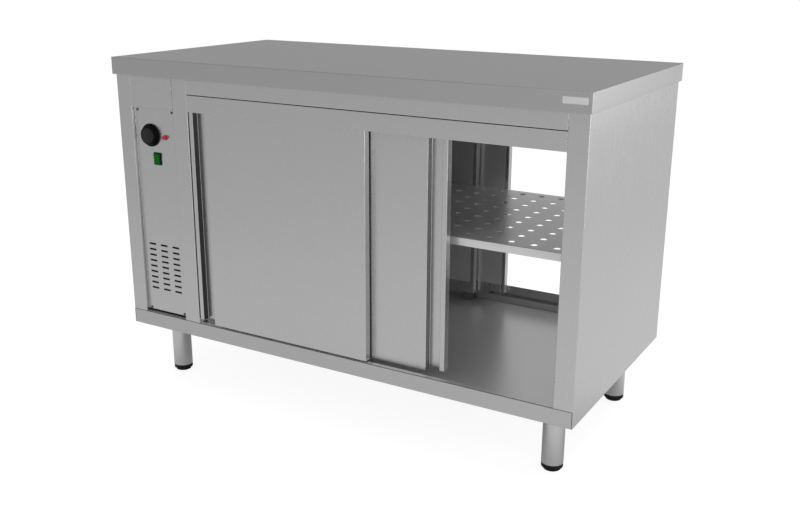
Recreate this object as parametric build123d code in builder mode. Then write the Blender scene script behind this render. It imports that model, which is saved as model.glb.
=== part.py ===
"""Hot food counter: a stainless steel pass-through hot cupboard with sliding doors on both sides.

Millimetres. The origin is the middle of the footprint on the floor. -Y is the serving front,
+Y the kitchen side, +X the end without controls and +Z up. At rest the doors stand as they
do in the photograph: one pulled open at the front and one at the back.
"""
from build123d import *
from collections import namedtuple
from math import cos, radians, sin
import os

# Overall size
counter_length = 1200.0
counter_depth = 600.0
counter_height = 820.0

# Sheets and their folds
sheet = 1.0
top_sheet = 1.2
channel_sheet = 1.5
bend_radius = 1.5
fold_flat = 1.2

# Clearances
rub_gap = 0.3
running_gap = 0.05
seam_gap = 1.2
shaft_end_gap = 1.0
shaft_hole_gap = 1.0

# Worktop
apron_height = 40.0
end_overhang = 5.0
long_overhang = 8.0
apron_lip = 20.0
stiffener_width = 30.0
stiffener_flange = 15.0
stiffener_pitch = 180.0
stiffener_count = 3

# Cabinet front and back
stile_width = 43.0
bay_width = 130.0
divider_width = 45.0
divider_return = 45.0
stile_return = 25.0
panel_setback = 8.0
panel_ledge = 16.0
header_height = 35.0
fascia_height = 40.0
flange_width = 30.0
filler_height = 74.0

# Base tray
skirt_height = 37.0
rim_width = 12.0
floor_drop = 18.0
skirt_lip = 15.0
sill_height = 28.0

# Legs and feet
leg_height = 147.0
leg_diameter = 48.0
leg_wall = 1.5
leg_inset_x = 76.0
leg_inset_y = 97.0
leg_channel_width = 70.0
leg_channel_depth = 17.0
band_diameter = 47.5
band_height = 9.6
foot_diameter = 38.0
foot_height = 6.0
foot_screw_radius = 5.0
foot_screw_length = 48.0
insert_depth = 30.0
insert_sides = 12

# Doors
door_overlap = 38.0
door_thickness = 18.0
door_setback = 2.5
door_pass_gap = 4.0
door_end_gap = 1.5
door_floor_gap = 3.0
door_behind_fascia = 10.0
door_return = 10.0
grip_lip = 12.0
grip_width = 33.0
grip_bottom_lift = 8.0
guide_rail_height = 30.0
liner_flange = 12.0
front_right_open = 259.0
rear_right_open = 363.5

# Hangers, rollers and rails
hanger_inset = 110.0
hanger_width = 44.0
hanger_sheet = 2.5
hook_clearance = 0.6
hanger_drop = 40.0
axle_radius = 2.5
roller_radius = 7.0
roller_width = 5.0
rail_lip_height = 18.0
rail_edge = 2.5
axle_head_radius = 4.0
axle_head = 1.0

# Guide block on the floor of the tray
guide_length = 23.0
guide_rise = 9.0
guide_clearance = 0.5

# Shelf; its round holes are drawn six-sided, which keeps the mesh light
shelf_rise = 323.0
shelf_depth = 460.0
shelf_lip = 17.0
shelf_end_gap = 2.0
hole_diameter = 15.0
hole_pitch = 50.0
hole_sides = 6
ledge_width = 20.0

# Control panel and its vents
panel_floor_gap = 6.5
panel_screw_inset = 10.5
panel_screw_lift = 4.0
panel_screw_drop = 8.0
screw_radius = 2.0
screw_head_radius = 3.2
screw_head = 1.8
screw_sides = 12
vent_width = 22.0
vent_height = 4.5
vent_pitch_x = 38.0
vent_pitch_z = 14.4
vent_rows = 9
vent_offset = 1.0
vent_lift = 116.5

# Thermostat, lamp and switch
knob_offset = -16.0
knob_drop = 141.0
knob_radius = 27.5
knob_front_radius = 25.5
knob_skirt = 3.0
knob_height = 13.0
knob_edge = 3.5
knob_shaft_radius = 3.0
thermostat_size = 38.0
thermostat_depth = 30.0
thermostat_ear = 8.0
thermostat_ear_height = 12.0
lamp_offset = 30.0
lamp_drop = 143.0
lamp_radius = 5.0
lamp_collar = 1.5
lamp_edge = 1.5
lamp_length = 10.0
lamp_barrel = 25.0
switch_offset = 1.0
switch_drop = 197.0
bezel_width = 23.0
bezel_height = 30.0
bezel_thickness = 2.0
bezel_border = 1.5
rocker_width = 17.0
rocker_radius = 12.0
rocker_tilt = 8.0
rocker_valley = 3.6
rocker_crest = 5.0
switch_depth = 22.0

# Air circuit in the control bay
duct_width = 180.0
duct_depth = 60.0
duct_lift = 34.0
duct_drop = 110.0
duct_flange = 15.0
fan_drop = 180.0
fan_size = 120.0
fan_thickness = 25.0
fan_bore_radius = 56.0
fan_hub_radius = 20.0
fan_shaft_radius = 3.0
fan_shaft_length = 14.0
fan_blades = 5
fan_blade_width = 26.0
fan_blade_pitch = 28.0
fan_blade_thickness = 1.5
fan_tip_gap = 4.0
heater_rod_radius = 4.25
heater_rods = 3
heater_rod_pitch = 30.0
outlet_width = 120.0
outlet_height = 6.0
outlet_pitch = 16.0
outlet_rows = 6
outlet_lift = 94.0
bay_cover_gap = 3.0
gland_radius = 9.0
gland_bore_radius = 5.0
gland_nut_radius = 14.0
gland_barrel = 8.0
gland_lift = 46.0
terminal_depth = 22.0
terminal_length = 90.0
terminal_height = 25.0
terminal_lift = 20.0
terminal_ways = 5
terminal_pitch = 15.0
terminal_hole = (9.0, 12.0)
terminal_hole_depth = 10.0

# Places that follow from the sizes above
body_x = counter_length / 2 - end_overhang
body_y = counter_depth / 2 - long_overhang
body_top = counter_height - apron_height
rim_z = leg_height + skirt_height
floor_z = rim_z - floor_drop
bay_left = -body_x + stile_width
bay_right = bay_left + bay_width
bay_middle = (bay_left + bay_right) / 2
doorway_left = bay_right + divider_width
doorway_right = body_x - stile_width
doorway_width = doorway_right - doorway_left
doorway_middle = (doorway_left + doorway_right) / 2
header_bottom = body_top - header_height
fascia_top = header_bottom - seam_gap
fascia_bottom = header_bottom - fascia_height
door_width = (doorway_width - 2 * door_end_gap + door_overlap) / 2
door_bottom = rim_z + door_floor_gap
door_top = fascia_bottom + door_behind_fascia
grip_end = grip_lip + grip_width
grip_depth = door_thickness - 2 * sheet - rub_gap
edge_return = grip_lip - 3 * sheet
outer_face = door_setback
inner_face = door_setback + door_thickness + door_pass_gap
rail_lip_z = fascia_top - sheet - rail_lip_height - 2 * sheet
roller_z = rail_lip_z + roller_radius + rub_gap
hanger_back = sheet + hanger_sheet
rail_near = hanger_back + guide_clearance
roller_near = rail_near + sheet + hook_clearance
axle_end = roller_near + roller_width + rub_gap + axle_head
rail_far = axle_end + hook_clearance
track_depth = inner_face + rail_far + 3 * sheet
shelf_left = doorway_left + shelf_end_gap
shelf_right = body_x - sheet - shelf_end_gap
shelf_middle = (shelf_left + shelf_right) / 2
panel_face = body_y - panel_setback
panel_back = panel_face - sheet
partition_x = doorway_left - 2 * sheet
panel_bottom = rim_z + panel_floor_gap
panel_top = body_top - filler_height - rub_gap
shelf_height = floor_z + shelf_rise
duct_bottom = floor_z + duct_lift
duct_top = body_top - duct_drop
fan_z = body_top - fan_drop
heater_z = (duct_bottom + duct_top) / 2
outlet_middle_z = floor_z + outlet_lift
vent_x = bay_middle + vent_offset
vent_middle_z = panel_bottom + vent_lift
knob_x = bay_middle + knob_offset
knob_z = body_top - knob_drop
lamp_x = bay_middle + lamp_offset
lamp_z = body_top - lamp_drop
switch_x = bay_middle + switch_offset
switch_z = body_top - switch_drop
gland_x = bay_middle
gland_z = rim_z + gland_lift
tray_x = body_x - sheet
pivot_y = panel_face + bezel_thickness / 2
switch_cutout = (bezel_width - 2 * bezel_border, bezel_height - 2 * bezel_border)
leg_places = GridLocations(counter_length - 2 * leg_inset_x, counter_depth - 2 * leg_inset_y, 2, 2)
screw_places = [
    (bay_middle + side * (bay_width / 2 - panel_screw_inset), z)
    for side in (-1, 1)
    for z in (panel_bottom + panel_screw_lift, panel_top - panel_screw_drop)
]

FRONT = 1
BACK = -1

# A door is placed by its grip edge, the way it runs from there, its track and its side
Door = namedtuple("Door", "name grip_x towards setback inwards")
doors = [
    Door("front_left", doorway_left + door_end_gap, 1, outer_face, FRONT),
    Door("front_right", doorway_right - door_end_gap - front_right_open, -1, inner_face, FRONT),
    Door("rear_left", doorway_left + door_end_gap, 1, inner_face, BACK),
    Door("rear_right", doorway_right - door_end_gap - rear_right_open, -1, outer_face, BACK),
]


def save(part, name):
    """Label a finished piece and write it out under its own name."""
    part.label = name
    export_step(part, f"parts/{name}.step")


def end_view(x, inwards):
    """Section plane across the counter: local x runs inwards from the cabinet's face, local y is up."""
    return Plane(origin=(x, -inwards * body_y, 0), x_dir=(0, inwards, 0), z_dir=(inwards, 0, 0))


def door_plan(door, z):
    """Plan plane of a door: local x runs from its grip edge, local y from its face inwards."""
    origin = (door.grip_x, -door.inwards * (body_y - door.setback), z)
    return Plane(origin=origin, x_dir=(door.towards, 0, 0), z_dir=(0, 0, door.towards * door.inwards))


def folded(*corners, side, thickness=sheet):
    """A folded sheet seen end on: its visible line with rounded bends, thickened to one side."""
    with BuildSketch() as section:
        with BuildLine():
            FilletPolyline(*corners, radius=bend_radius)
            offset(amount=thickness, side=side)
        make_face()
    return section.sketch


def creased(*corners, side, thickness=sheet):
    """The same for sheets that stay out of sight, whose folds are kept sharp."""
    with BuildSketch() as section:
        with BuildLine():
            Polyline(*corners)
            offset(amount=thickness, side=side, kind=Kind.INTERSECTION)
        make_face()
    return section.sketch


def rectangle_ring(width, depth, border):
    """A flat rectangular ring."""
    with BuildSketch() as ring:
        Rectangle(width, depth)
        Rectangle(width - 2 * border, depth - 2 * border, mode=Mode.SUBTRACT)
    return ring.sketch


def slab(x, y, z):
    """A box between two values on each axis, for flanges and straps."""
    with BuildPart(mode=Mode.PRIVATE) as block:
        with BuildSketch(Plane.XY.offset(z[0])):
            with Locations(((x[0] + x[1]) / 2, (y[0] + y[1]) / 2)):
                Rectangle(abs(x[1] - x[0]), abs(y[1] - y[0]))
        extrude(amount=z[1] - z[0])
    return block.part


def worktop():
    """Pressed top: plate, four aprons and the lips turned in under them."""
    with BuildPart() as top:
        with BuildSketch(Plane.XY.offset(body_top)):
            Rectangle(counter_length, counter_depth)
        extrude(amount=apron_height)
        fillet(top.edges().filter_by(Axis.Z), radius=bend_radius)
        fillet(top.faces().sort_by(Axis.Z)[-1].edges(), radius=bend_radius)
        with BuildSketch(Plane.XY.offset(body_top + top_sheet)):
            Rectangle(counter_length - 2 * top_sheet, counter_depth - 2 * top_sheet)
        extrude(amount=apron_height - 2 * top_sheet, mode=Mode.SUBTRACT)
        with BuildSketch(Plane.XY.offset(body_top)):
            Rectangle(counter_length - 2 * apron_lip, counter_depth - 2 * apron_lip)
        extrude(amount=top_sheet, mode=Mode.SUBTRACT)
    return top.part


def top_stiffeners():
    """Hat sections under the plate, standing on the end panels' flanges."""
    reach = counter_length / 2 - apron_lip - rub_gap
    depth = apron_height - top_sheet
    half = stiffener_width / 2
    with BuildPart() as hats:
        with BuildSketch(Plane(origin=(-reach, 0, body_top), x_dir=(0, 1, 0), z_dir=(1, 0, 0))):
            with GridLocations(stiffener_pitch, 0, stiffener_count, 1):
                add(creased(
                    (-half - stiffener_flange, depth), (-half, depth), (-half, sheet),
                    (half, sheet), (half, depth), (half + stiffener_flange, depth),
                    side=Side.RIGHT))
        extrude(amount=2 * reach)
    return hats.part


def ledge_notch(edge_x, end_x):
    """Room under the bay's covers, where their ledges stop short of the base."""
    across = (min(edge_x, end_x), max(edge_x, end_x))
    depth = (panel_back - 2 * sheet, panel_back + bend_radius)
    front = slab(across, (-depth[1], -depth[0]), (rim_z, panel_bottom))
    back = slab(across, depth, (rim_z, panel_bottom))
    return front + back


def left_side_panel():
    """End panel on the control side, folded into both stiles and the ledges behind the bay's covers."""
    face = body_y
    ledge = bay_left + panel_ledge
    with BuildPart() as panel:
        with BuildSketch(Plane.XY.offset(rim_z)):
            add(folded(
                (ledge, -panel_back), (bay_left, -panel_back), (bay_left, -face), (-body_x, -face),
                (-body_x, face), (bay_left, face), (bay_left, panel_back), (ledge, panel_back),
                side=Side.RIGHT))
        extrude(amount=body_top - rim_z)
        inside = (-body_x + sheet / 2, -body_x + flange_width)
        add(slab(inside, (-face + sheet, face - sheet), (body_top - sheet, body_top)))
        foot = (-body_x + sheet / 2, -body_x + rim_width)
        add(slab(foot, (-face + sheet, face - sheet), (rim_z, rim_z + sheet)))
        add(slab((-body_x, -tray_x), (-face, face), (leg_height, rim_z)))
        add(ledge_notch(bay_left, ledge + sheet), mode=Mode.SUBTRACT)
    return panel.part


def right_side_panel():
    """Plain end panel, folded into both stiles and their deep returns."""
    face = body_y
    with BuildPart() as panel:
        with BuildSketch(Plane.XY.offset(rim_z)):
            add(folded(
                (doorway_right, -face + stile_return), (doorway_right, -face), (body_x, -face),
                (body_x, face), (doorway_right, face), (doorway_right, face - stile_return),
                side=Side.LEFT))
        extrude(amount=body_top - rim_z)
        inside = (body_x - flange_width, body_x - sheet / 2)
        add(slab(inside, (-face + sheet, face - sheet), (body_top - sheet, body_top)))
        foot = (body_x - rim_width, body_x - sheet / 2)
        add(slab(foot, (-face + sheet, face - sheet), (rim_z, rim_z + sheet)))
        add(slab((tray_x, body_x), (-face, face), (leg_height, rim_z)))
    return panel.part


def base_tray():
    """Base tray between the end panels: skirts, a narrow rim and the sunken floor of the cupboard."""
    outer = (2 * tray_x, 2 * body_y)
    riser = (outer[0] - 2 * rim_width, outer[1] - 2 * rim_width)
    with BuildPart() as tray:
        with BuildSketch(Plane.XY.offset(leg_height)):
            Rectangle(*outer)
        extrude(amount=skirt_height)
        chamfer(tray.edges().filter_by(Axis.Z), length=fold_flat)
        chamfer(tray.faces().sort_by(Axis.Z)[-1].edges(), length=fold_flat)
        with BuildSketch(Plane.XY.offset(floor_z)):
            Rectangle(riser[0], riser[1])
        extrude(amount=floor_drop, mode=Mode.SUBTRACT)
        with BuildSketch(Plane.XY.offset(leg_height + sheet)):
            add(rectangle_ring(outer[0] - 2 * sheet, outer[1] - 2 * sheet, rim_width - 2 * sheet))
        extrude(amount=skirt_height - 2 * sheet, mode=Mode.SUBTRACT)
        with BuildSketch(Plane.XY.offset(leg_height + sheet)):
            Rectangle(riser[0] + 2 * sheet, riser[1] + 2 * sheet)
        extrude(amount=floor_z - leg_height - 2 * sheet, mode=Mode.SUBTRACT)
        with BuildSketch(Plane.XY.offset(leg_height)):
            Rectangle(outer[0] - 2 * skirt_lip, outer[1] - 2 * skirt_lip)
        extrude(amount=sheet, mode=Mode.SUBTRACT)
    return tray.part


def leg_channels():
    """The two channels under the floor that carry the legs."""
    reach = body_y - rim_width - 2 * sheet
    half = leg_channel_width / 2
    web = floor_z - sheet
    leg_x = counter_length / 2 - leg_inset_x
    with BuildPart() as channels:
        with BuildSketch(Plane(origin=(0, -reach, web), x_dir=(-1, 0, 0), z_dir=(0, 1, 0))):
            with Locations((-leg_x, 0), (leg_x, 0)):
                add(creased(
                    (-half, -leg_channel_depth), (-half, 0), (half, 0), (half, -leg_channel_depth),
                    side=Side.RIGHT, thickness=channel_sheet))
        extrude(amount=2 * reach)
    return channels.part


def legs():
    """Four round tubes, standing up against the channels."""
    foot_top = foot_height + band_height
    leg_top = floor_z - sheet - channel_sheet
    with BuildPart() as tubes:
        with BuildSketch(Plane.XY.offset(foot_top)):
            with leg_places:
                Circle(leg_diameter / 2)
                Circle(leg_diameter / 2 - leg_wall, mode=Mode.SUBTRACT)
        extrude(amount=leg_top - foot_top)
    return tubes.part


def leg_inserts():
    """Black plugs in the tubes' ends, bored for the feet's screws."""
    plug_radius = leg_diameter / 2 - leg_wall - running_gap
    with BuildPart() as plugs:
        with BuildSketch(Plane.XY.offset(foot_height)):
            with leg_places:
                Circle(band_diameter / 2)
        extrude(amount=band_height)
        with BuildSketch(Plane.XY.offset(foot_height + band_height)):
            with leg_places:
                RegularPolygon(plug_radius, insert_sides)
        extrude(amount=insert_depth)
        with BuildSketch(Plane.XY.offset(foot_height)):
            with leg_places:
                Circle(foot_screw_radius + running_gap)
        extrude(amount=band_height + insert_depth, mode=Mode.SUBTRACT)
    return plugs.part


def foot(x, y):
    """Screw-in foot: a round pad on its screw."""
    with BuildPart() as pad:
        with BuildSketch(Plane(origin=(x, y, 0), x_dir=(1, 0, 0), z_dir=(0, -1, 0))):
            with BuildLine():
                Polyline(
                    (0, 0), (foot_diameter / 2, 0),
                    (foot_diameter / 2, foot_height - rub_gap), (foot_screw_radius, foot_height - rub_gap),
                    (foot_screw_radius, foot_screw_length), (0, foot_screw_length), close=True)
            make_face()
        revolve(axis=Axis((x, y, 0), (0, 0, 1)))
    return pad.part


def header(inwards):
    """Upper front rail, folded back at its top and bottom."""
    with BuildPart() as rail:
        with BuildSketch(end_view(doorway_left, inwards)):
            add(folded(
                (stile_return, header_bottom), (0, header_bottom), (0, body_top), (flange_width, body_top),
                side=Side.RIGHT))
        extrude(amount=doorway_width, dir=(1, 0, 0))
    return rail.part


def track(inwards):
    """Door track: the lower fascia, the ceiling behind it and two hooked rails for the rollers."""
    with BuildPart() as rails:
        with BuildSketch(end_view(doorway_left, inwards)):
            add(folded((0, fascia_bottom), (0, fascia_top), (track_depth, fascia_top), side=Side.RIGHT))
            for face in (outer_face, inner_face):
                near = face + rail_near
                far = face + rail_far + sheet
                add(creased(
                    (near, rail_lip_z + rail_edge), (near, rail_lip_z - sheet),
                    (far, rail_lip_z - sheet), (far, fascia_top - sheet / 2),
                    side=Side.LEFT))
        extrude(amount=doorway_width, dir=(1, 0, 0))
    return rails.part


def divider(inwards):
    """Post between the control bay and the doorway, with the ledge that carries the bay's cover."""
    y = -inwards
    plane = Plane(origin=(0, 0, rim_z), x_dir=(1, 0, 0), z_dir=(0, 0, 1))
    side = Side.LEFT if inwards == FRONT else Side.RIGHT
    with BuildPart() as post:
        with BuildSketch(plane):
            add(folded(
                (bay_right - panel_ledge, y * panel_back), (bay_right, y * panel_back),
                (bay_right, y * body_y), (doorway_left, y * body_y),
                (doorway_left, y * (body_y - divider_return)), side=side))
        extrude(amount=body_top - rim_z)
        across = (bay_right + sheet / 2, doorway_left - sheet / 2)
        foot_depth = (y * (body_y - sheet / 2), y * (body_y - rim_width))
        top_depth = (y * (body_y - sheet / 2), y * (body_y - flange_width))
        add(slab(across, foot_depth, (rim_z, rim_z + sheet)))
        add(slab(across, top_depth, (body_top - sheet, body_top)))
        add(ledge_notch(bay_right, bay_right - panel_ledge - sheet), mode=Mode.SUBTRACT)
    return post.part


def bay_filler(inwards):
    """Plate over the control panel, flush with the stiles."""
    with BuildPart() as plate:
        with BuildSketch(end_view(bay_left + rub_gap, inwards)):
            bottom = body_top - filler_height
            add(folded(
                (panel_setback, bottom), (0, bottom), (0, body_top), (panel_setback, body_top),
                side=Side.RIGHT))
        extrude(amount=bay_width - 2 * rub_gap, dir=(1, 0, 0))
    return plate.part


def rear_sill():
    """Upstand along the back edge of the base, under the rear doors."""
    with BuildPart() as sill:
        with BuildSketch(end_view(doorway_left, BACK)):
            add(folded(
                (0, rim_z + sill_height), (0, rim_z), (rim_width, rim_z), side=Side.LEFT))
        extrude(amount=doorway_width, dir=(1, 0, 0))
    return sill.part


def floor_guide(inwards):
    """Nylon block on the tray's floor: a tongue runs in the guide rail of each door."""
    inside = rim_width + sheet
    low = door_bottom - guide_clearance
    high = rim_z + guide_rise
    tongue_near = 2 * sheet + guide_clearance
    tongue_far = door_thickness - sheet - guide_clearance
    back = inner_face + door_thickness
    seat = rim_z if inwards == FRONT else rim_z + sheet
    with BuildPart() as block:
        with BuildSketch(end_view(doorway_middle - guide_length / 2, inwards)):
            with BuildLine():
                Polyline(
                    (inside, floor_z), (back, floor_z), (back, low),
                    (inner_face + tongue_far, low), (inner_face + tongue_far, high),
                    (inner_face + tongue_near, high), (inner_face + tongue_near, low),
                    (outer_face + tongue_far, low), (outer_face + tongue_far, high),
                    (outer_face + tongue_near, high), (outer_face + tongue_near, seat),
                    (inside, seat), close=True)
            make_face()
        extrude(amount=guide_length, dir=(1, 0, 0))
    return block.part


def partition_wall():
    """Wall between the cupboard and the control bay, with the fan's inlet and the warm air slots."""
    reach = body_y - divider_return + duct_flange
    with BuildPart() as wall:
        with BuildSketch(Plane(origin=(0, -reach, 0), x_dir=(-1, 0, 0), z_dir=(0, 1, 0))):
            x = -partition_x - sheet
            add(creased(
                (x + flange_width, floor_z), (x, floor_z), (x, body_top), (x + flange_width, body_top),
                side=Side.RIGHT))
        extrude(amount=2 * reach)
        with BuildSketch(Plane.YZ.offset(partition_x)):
            with Locations((0, fan_z)):
                Circle(fan_bore_radius - fan_tip_gap)
            with Locations((0, outlet_middle_z)):
                with GridLocations(0, outlet_pitch, 1, outlet_rows):
                    Rectangle(outlet_width, outlet_height)
        extrude(amount=2 * sheet, both=True, mode=Mode.SUBTRACT)
    return wall.part


def air_duct():
    """Tray on the bay side of the partition that closes the air circuit round fan and heater."""
    half = duct_width / 2
    back = partition_x
    with BuildPart() as duct:
        with BuildSketch(Plane.XY.offset(duct_bottom)):
            add(creased(
                (back - sheet, -half - duct_flange), (back - sheet, -half), (back - duct_depth, -half),
                (back - duct_depth, half), (back - sheet, half), (back - sheet, half + duct_flange),
                side=Side.RIGHT))
        extrude(amount=duct_top - duct_bottom)
        across = (back - duct_depth + sheet / 2, back)
        along = (-half + sheet / 2, half - sheet / 2)
        add(slab(across, along, (duct_bottom, duct_bottom + sheet)))
        add(slab(across, along, (duct_top - sheet, duct_top)))
    return duct.part


def fan_frame():
    """Square fan housing on the partition, with the hub plate held by three struts."""
    back = partition_x
    hub = fan_hub_radius
    with BuildPart() as frame:
        with BuildSketch(Plane(origin=(back, 0, fan_z), x_dir=(0, 1, 0), z_dir=(-1, 0, 0))):
            Rectangle(fan_size, fan_size)
            Circle(fan_bore_radius, mode=Mode.SUBTRACT)
        extrude(amount=fan_thickness)
        with BuildSketch(Plane(origin=(back - fan_thickness, 0, fan_z), x_dir=(0, 1, 0), z_dir=(1, 0, 0))):
            Circle(hub)
            with PolarLocations(0, 3, start_angle=90):
                with Locations((fan_bore_radius / 2, 0)):
                    Rectangle(fan_bore_radius + sheet, 6 * sheet)
        extrude(amount=2 * sheet)
        with BuildSketch(Plane(origin=(back - fan_thickness, 0, fan_z), x_dir=(0, 1, 0), z_dir=(1, 0, 0))):
            Circle(fan_shaft_radius)
        extrude(amount=2 * sheet + fan_shaft_length)
    return frame.part


def fan_rotor():
    """Fan hub and its pitched blades."""
    hub_front = partition_x - 4 * sheet
    hub_length = fan_thickness - 8 * sheet
    blade_reach = fan_bore_radius - fan_tip_gap
    blade_length = blade_reach - fan_hub_radius + 2 * sheet
    with BuildPart() as rotor:
        with BuildSketch(Plane(origin=(hub_front, 0, fan_z), x_dir=(0, 1, 0), z_dir=(-1, 0, 0))):
            Circle(fan_hub_radius)
        extrude(amount=hub_length)
        middle = Plane(origin=(hub_front - hub_length / 2, 0, fan_z), x_dir=(0, 1, 0), z_dir=(-1, 0, 0))
        with Locations(middle):
            with PolarLocations((fan_hub_radius + blade_reach) / 2 - sheet, fan_blades):
                Box(blade_length, fan_blade_width, fan_blade_thickness, rotation=(fan_blade_pitch, 0, 0))
        with BuildSketch(Plane(origin=(hub_front - hub_length, 0, fan_z), x_dir=(0, 1, 0), z_dir=(1, 0, 0))):
            Circle(fan_shaft_radius + running_gap)
        extrude(amount=fan_shaft_length + sheet, mode=Mode.SUBTRACT)
    return rotor.part


def heater_bank():
    """Straight sheathed rods between two end plates that stand against the duct's sides."""
    half = duct_width / 2 - sheet
    x = partition_x - duct_depth / 2
    span = heater_rod_pitch * heater_rods
    with BuildPart() as bank:
        for y in (-half, half - sheet):
            across = (x - span / 4, x + span / 4)
            add(slab(across, (y, y + sheet), (heater_z - span / 2, heater_z + span / 2)))
        with BuildSketch(Plane(origin=(x, -half, heater_z), x_dir=(1, 0, 0), z_dir=(0, 1, 0))):
            with GridLocations(0, heater_rod_pitch, 1, heater_rods):
                Circle(heater_rod_radius)
        extrude(amount=2 * half)
    return bank.part


def rear_bay_cover():
    """Service cover at the back of the control bay, with the hole for the cable gland."""
    width = bay_width - 2 * bend_radius
    bottom = rim_z + bay_cover_gap
    height = body_top - bay_cover_gap - bottom
    with BuildPart() as cover:
        with BuildSketch(Plane(origin=(bay_middle, panel_back, bottom), x_dir=(-1, 0, 0), z_dir=(0, 1, 0))):
            with Locations((0, height / 2)):
                Rectangle(width, height)
            with Locations((bay_middle - gland_x, gland_z - bottom)):
                Circle(gland_radius + running_gap, mode=Mode.SUBTRACT)
        extrude(amount=sheet)
    return cover.part


def cable_gland():
    """Gland in the rear cover: a barrel through the sheet and a six-sided nut outside."""
    inner_end = Plane(origin=(gland_x, panel_back - gland_barrel, gland_z), x_dir=(-1, 0, 0), z_dir=(0, 1, 0))
    with BuildPart() as gland:
        with BuildSketch(inner_end):
            Circle(gland_radius)
        extrude(amount=gland_barrel + sheet)
        with BuildSketch(inner_end.offset(gland_barrel + sheet)):
            RegularPolygon(gland_nut_radius, 6)
        extrude(amount=panel_setback)
        with BuildSketch(inner_end):
            Circle(gland_bore_radius)
        extrude(amount=gland_barrel + sheet + panel_setback, mode=Mode.SUBTRACT)
    return gland.part


def shelf():
    """Perforated middle shelf with lips turned down at the front and back."""
    width = shelf_right - shelf_left
    half = shelf_depth / 2
    rows = int((shelf_depth - hole_pitch) // hole_pitch) + 1
    columns = int((width - hole_pitch) // hole_pitch) + 1
    with BuildPart() as plate:
        with BuildSketch(Plane(origin=(shelf_left, 0, shelf_height), x_dir=(0, 1, 0), z_dir=(1, 0, 0))):
            add(folded((-half, -shelf_lip), (-half, 0), (half, 0), (half, -shelf_lip), side=Side.RIGHT))
        extrude(amount=width)
        with BuildSketch(Plane.XY.offset(shelf_height - sheet)):
            with Locations((shelf_middle, 0)):
                with GridLocations(hole_pitch, hole_pitch, columns, rows):
                    RegularPolygon(hole_diameter / 2, hole_sides, rotation=180 / hole_sides)
        extrude(amount=sheet, mode=Mode.SUBTRACT)
    return plate.part


def shelf_ledges():
    """Angle on the partition and angle on the end panel that carry the shelf's ends."""
    under = shelf_height - sheet
    left = partition_x + sheet
    right = body_x - sheet
    with BuildPart() as ledges:
        half = shelf_depth / 2 - 2 * sheet
        with BuildSketch(Plane(origin=(0, -half, 0), x_dir=(-1, 0, 0), z_dir=(0, 1, 0))):
            add(creased(
                (-left, under - ledge_width), (-left, under), (-left - ledge_width, under),
                side=Side.LEFT, thickness=channel_sheet))
            add(creased(
                (-right, under - ledge_width), (-right, under), (-right + ledge_width, under),
                side=Side.RIGHT, thickness=channel_sheet))
        extrude(amount=2 * half)
    return ledges.part


def door_skin(door):
    """Outer skin of a door: one folded sheet with the full-height finger recess, and its guide rail."""
    back = door_thickness
    with BuildPart() as skin:
        with BuildSketch(door_plan(door, door_bottom)):
            add(folded(
                (door_width - door_return, back), (door_width, back), (door_width, 0), (grip_end, 0),
                (grip_end, grip_depth), (grip_lip, grip_depth), (grip_lip, 0), (0, 0), (0, back),
                (edge_return, back), side=Side.RIGHT))
        extrude(amount=door_top - door_bottom, dir=(0, 0, 1))
        # The recess and its lip stop short of the tray's rim
        with BuildSketch(door_plan(door, door_bottom)):
            with Locations((grip_end / 2, back / 2)):
                Rectangle(grip_end + 2 * sheet, back + 2 * sheet)
        extrude(amount=grip_bottom_lift, dir=(0, 0, 1), mode=Mode.SUBTRACT)
        # The guide rail is an upturned channel between the face and the inner return
        rail_start = grip_end + sheet
        rail_length = door_width - door_return - rail_start
        with BuildSketch(door_plan(door, door_bottom)):
            with Locations((rail_start + rail_length / 2, back / 2 + sheet / 2)):
                Rectangle(rail_length, back - sheet)
                Rectangle(rail_length, back - 3 * sheet, mode=Mode.SUBTRACT)
        extrude(amount=guide_rail_height - sheet, dir=(0, 0, 1))
        with BuildSketch(door_plan(door, door_bottom + guide_rail_height - sheet)):
            with Locations((rail_start + rail_length / 2, back / 2 + sheet / 2)):
                Rectangle(rail_length, back - sheet)
        extrude(amount=sheet, dir=(0, 0, 1))
    return skin.part


def door_liner(door):
    """Inner sheet of a door, closing its back from edge to edge above the guide rail."""
    back = door_thickness
    start = edge_return + rub_gap
    end = door_width - door_return - rub_gap
    bottom = door_bottom + guide_rail_height
    with BuildPart() as liner:
        with BuildSketch(door_plan(door, bottom)):
            add(creased(
                (start, back - liner_flange), (start, back), (end, back), (end, back - liner_flange),
                side=Side.RIGHT))
        extrude(amount=door_top - bottom, dir=(0, 0, 1))
    return liner.part


def hanger_places(door):
    """How far each hanger's middle lies from the grip edge."""
    return (hanger_inset, door_width - hanger_inset)


def across_door(door, along, inward, z):
    """Plane whose normal runs inwards through a door, at a distance along it and behind its face."""
    origin = (
        door.grip_x + door.towards * along,
        -door.inwards * (body_y - door.setback - inward),
        z)
    return Plane(origin=origin, x_dir=(1, 0, 0), z_dir=(0, door.inwards, 0))


def door_hangers(door):
    """The two straps of a door, each with the axle and head that hold its roller."""
    with BuildPart() as hangers:
        for along in hanger_places(door):
            strap_bottom = door_top - hanger_drop
            strap_height = roller_z + roller_radius - strap_bottom
            with BuildSketch(across_door(door, along, sheet, strap_bottom + strap_height / 2)):
                Rectangle(hanger_width, strap_height)
            extrude(amount=hanger_sheet)
            with BuildSketch(across_door(door, along, hanger_back, roller_z)):
                Circle(axle_radius)
            extrude(amount=axle_end - hanger_back)
            with BuildSketch(across_door(door, along, axle_end - axle_head, roller_z)):
                RegularPolygon(axle_head_radius, 6)
            extrude(amount=axle_head)
    return hangers.part


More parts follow.
